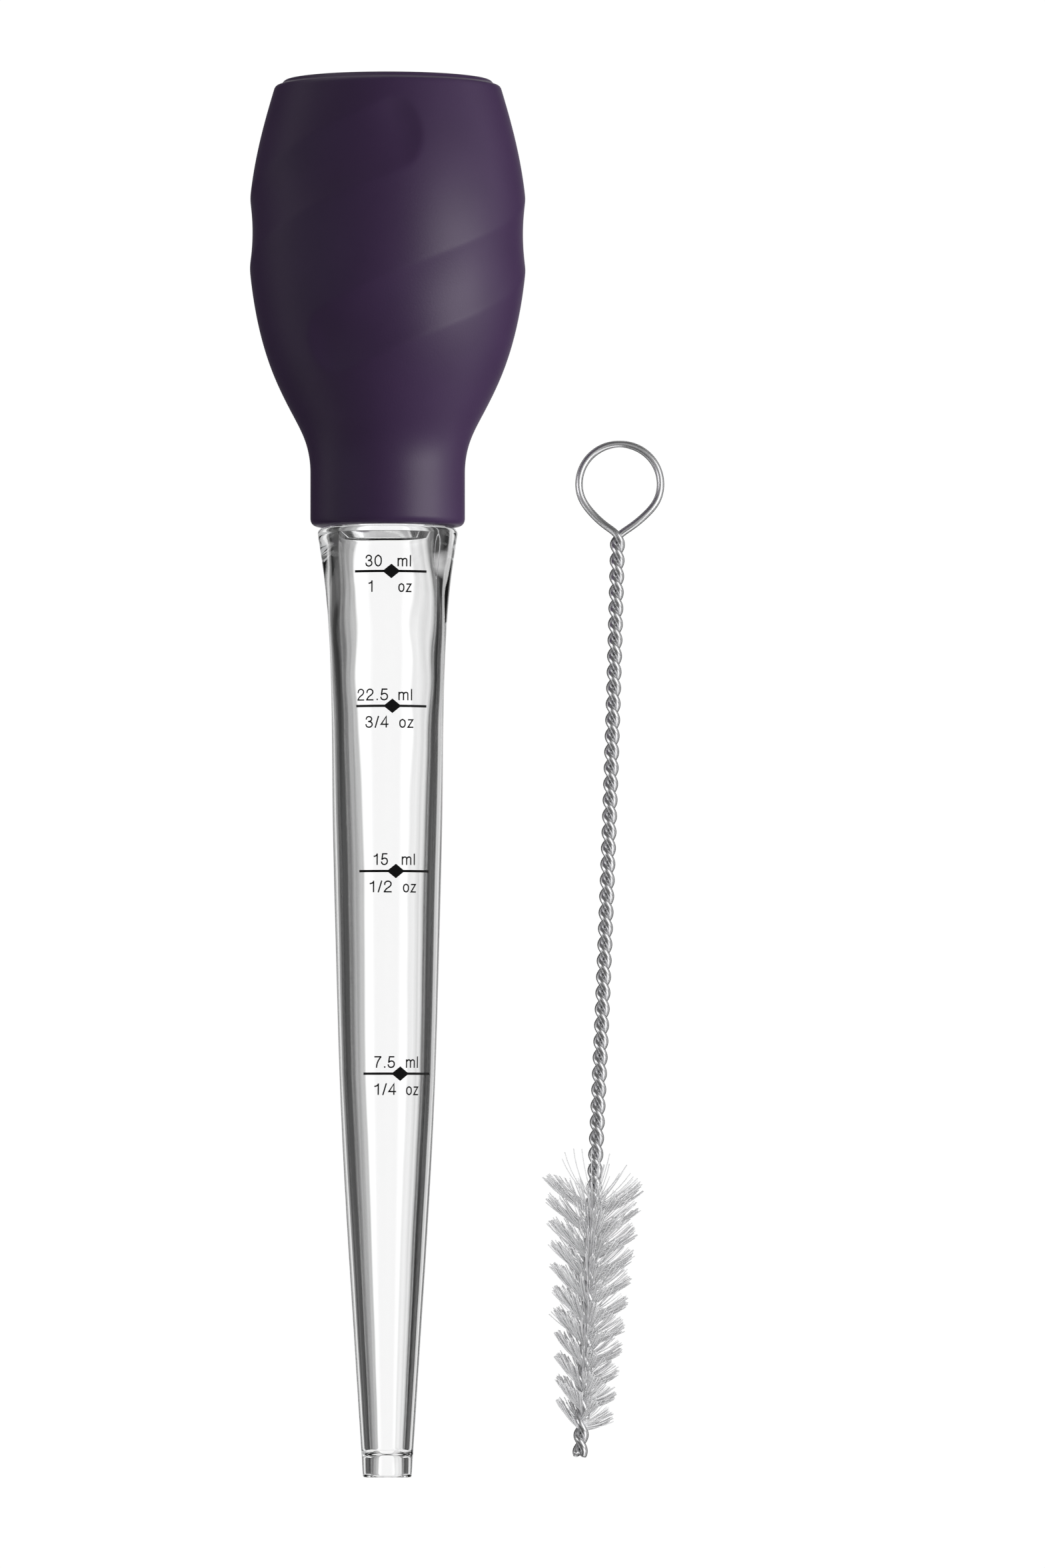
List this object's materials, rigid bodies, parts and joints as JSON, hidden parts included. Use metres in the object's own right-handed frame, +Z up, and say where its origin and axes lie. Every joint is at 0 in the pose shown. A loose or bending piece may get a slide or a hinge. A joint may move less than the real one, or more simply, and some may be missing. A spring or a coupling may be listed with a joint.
{
  "type": "baster with cleaning brush",
  "caption": "Clear tapered squeeze-bulb baster with a printed volume scale and spiral finger grooves on its soft bulb, lying beside its twisted-wire cleaning brush.",
  "frame": {"origin": "on the surface that the pieces lie on, under the middle of their common box", "axes": "+Z up, +Y along the baster from its tip towards its bulb, +X from the baster towards its brush"},
  "size_m": [0.0834, 0.281, 0.0564],
  "materials": {
    "clear_plastic": "clear, polished",
    "bulb_silicone": "fine matte",
    "steel_wire": "bright drawn wire",
    "nylon": "translucent filament",
    "ink": "printed"
  },
  "bodies": {
    "tube": {"clear_tube": "clear_plastic", "scale_mark_7_5ml": "ink", "scale_mark_15ml": "ink", "scale_mark_22_5ml": "ink", "scale_mark_30ml": "ink"},
    "bulb": {"squeeze_bulb": "bulb_silicone"},
    "thumb_wall": {"bulb_thumb_wall": "bulb_silicone"},
    "brush": {"brush_finger_ring": "steel_wire", "brush_wire_leg_a": "steel_wire", "brush_wire_leg_b": "steel_wire", "bristle_tuft_01": "nylon", "bristle_tuft_02": "nylon", "bristle_tuft_03": "nylon", "bristle_tuft_04": "nylon", "bristle_tuft_05": "nylon", "bristle_tuft_06": "nylon", "bristle_tuft_07": "nylon", "bristle_tuft_08": "nylon", "bristle_tuft_09": "nylon", "bristle_tuft_10": "nylon", "bristle_tuft_11": "nylon"}
  },
  "joints": [
    {"name": "bulb_squeeze", "type": "slide", "parent": "bulb", "child": "thumb_wall", "axis": [0, 0.0938, -0.9956], "range_m": [0, 0.008], "stiffness_N_per_m": 400},
    {"name": "bulb_pull_off", "type": "slide", "parent": "tube", "child": "bulb", "axis": [0, 0.9956, 0.0938], "range_m": [0, 0.035]},
    {"name": "brush_lift", "type": "slide", "parent": "tube", "child": "brush", "axis": [0, 0, 1], "range_m": [0, 0.1]}
  ]
}
